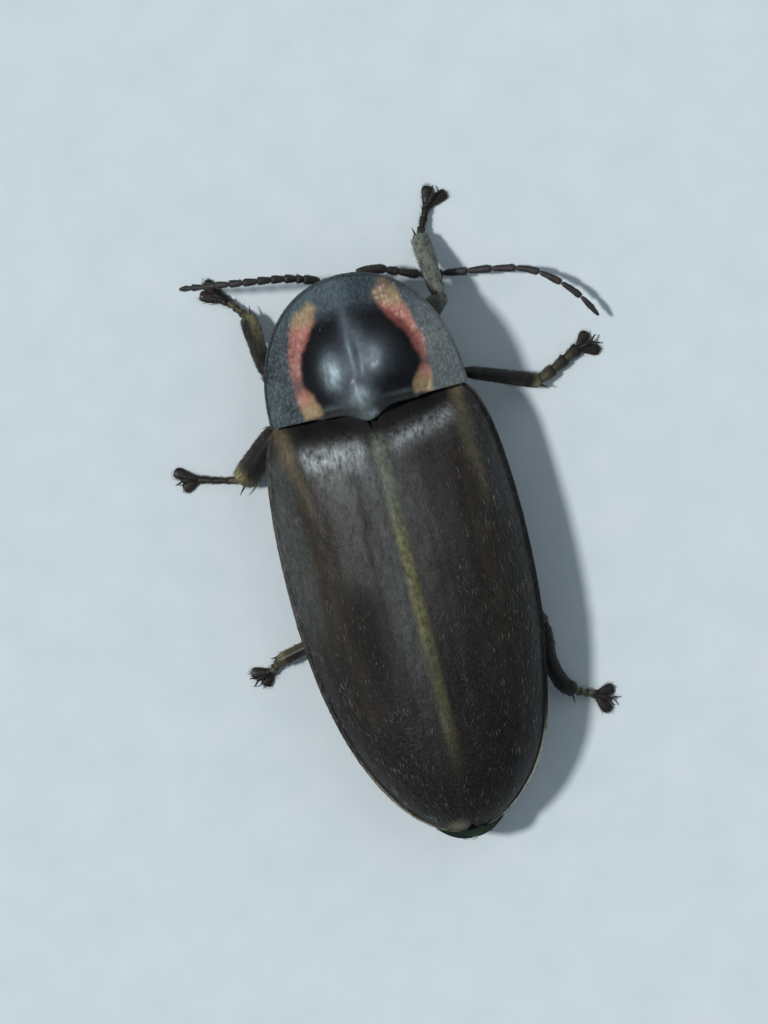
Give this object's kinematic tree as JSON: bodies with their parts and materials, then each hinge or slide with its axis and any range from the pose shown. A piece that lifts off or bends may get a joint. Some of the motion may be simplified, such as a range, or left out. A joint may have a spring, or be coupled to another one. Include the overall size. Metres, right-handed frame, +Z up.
{
  "type": "winter firefly",
  "caption": "Dark winter firefly beetle at rest: broad grey pronotum with salmon crescents over the head, long wing covers with a pale suture, slender legs and feelers.",
  "frame": {"origin": "centre of the bounding box at the level that the six feet stand on", "axes": "+Z up, -Y towards the head, +X towards the animal's left"},
  "size_m": [0.0102, 0.0142, 0.0032],
  "materials": {
    "shield": "satin",
    "wing_cover": "satin",
    "underside": "satin",
    "head": "satin",
    "eye": "gloss",
    "feeler": "matte",
    "leg": "satin"
  },
  "bodies": {
    "root": {"pronotum": "shield", "prothorax": "underside", "head": "head", "eye_left": "eye", "eye_right": "eye", "scutellum": "underside", "elytron_left": "wing_cover", "elytron_right": "wing_cover", "thorax": "underside", "abdomen": "underside", "antenna_left": "feeler", "antenna_right": "feeler", "leg_front_left": "leg", "leg_front_right": "leg", "leg_middle_left": "leg", "leg_middle_right": "leg", "leg_hind_left": "leg", "leg_hind_right": "leg"}
  },
  "joints": []
}
